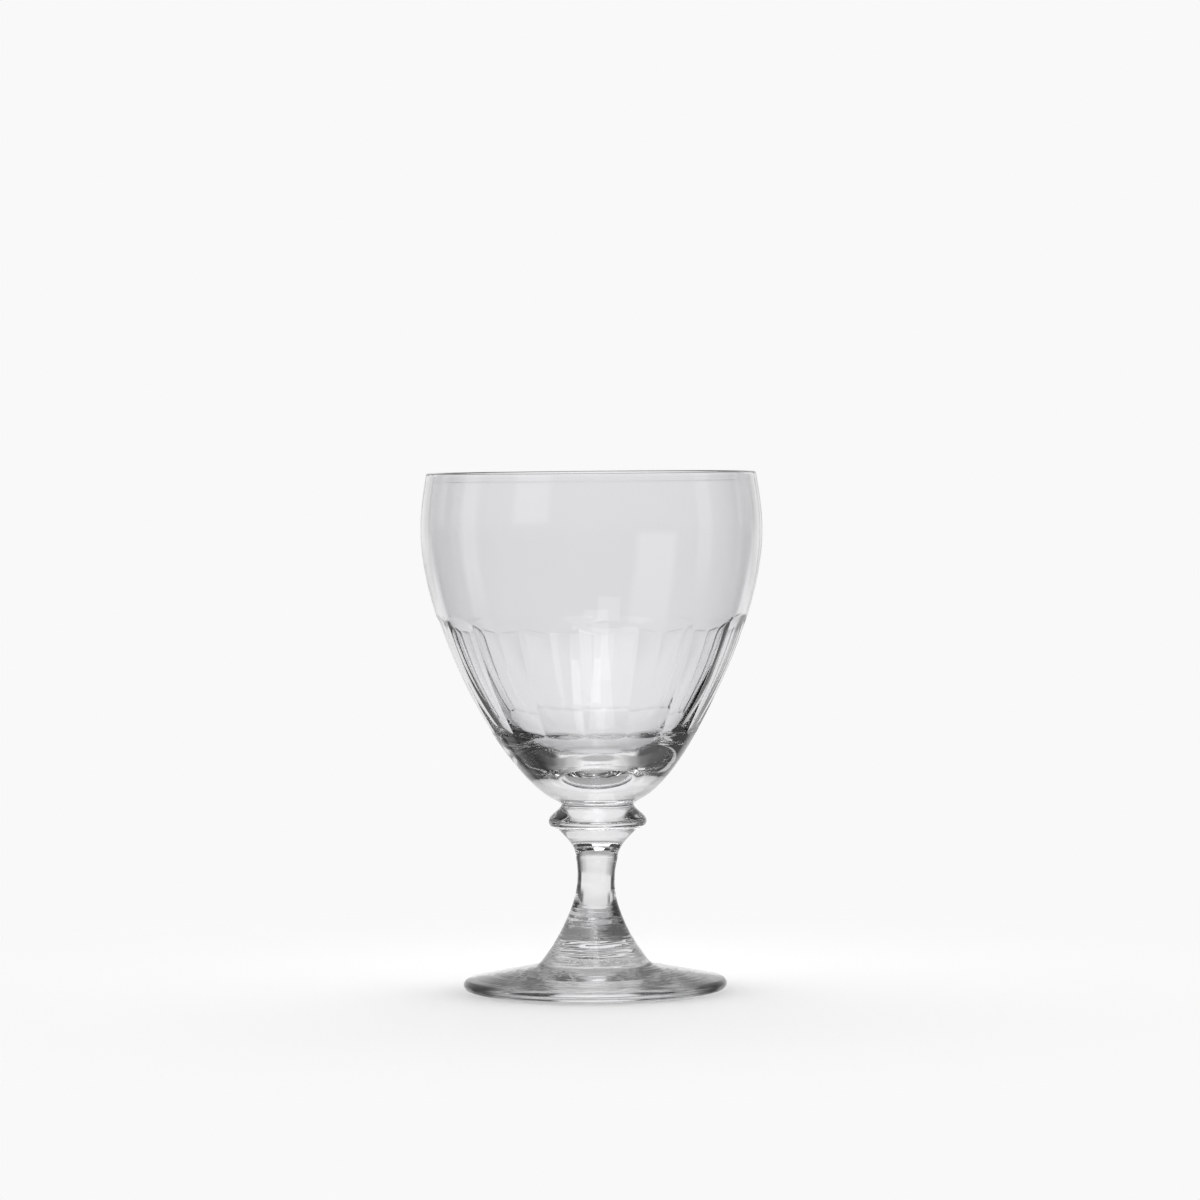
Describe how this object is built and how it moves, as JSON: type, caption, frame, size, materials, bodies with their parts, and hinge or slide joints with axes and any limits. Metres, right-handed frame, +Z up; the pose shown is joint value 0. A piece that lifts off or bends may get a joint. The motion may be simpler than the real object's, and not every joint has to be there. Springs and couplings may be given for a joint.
{
  "type": "cognac glass",
  "caption": "Small clear stemmed drinking glass with an ovoid bowl cut in flutes, a bladed knop, a short drawn stem and a conical disc foot.",
  "frame": {"origin": "centre of the foot's rest ring, on the surface that the glass stands on", "axes": "+Z up along the glass's axis towards the rim, +X to the right and -Y towards the viewer of the picture"},
  "size_m": [0.0726, 0.0726, 0.11],
  "materials": {
    "clear_glass": "polished, with faint tooling lines on the foot"
  },
  "bodies": {
    "root": {"bowl": "clear_glass", "knop": "clear_glass", "stem": "clear_glass", "foot": "clear_glass"}
  },
  "joints": []
}
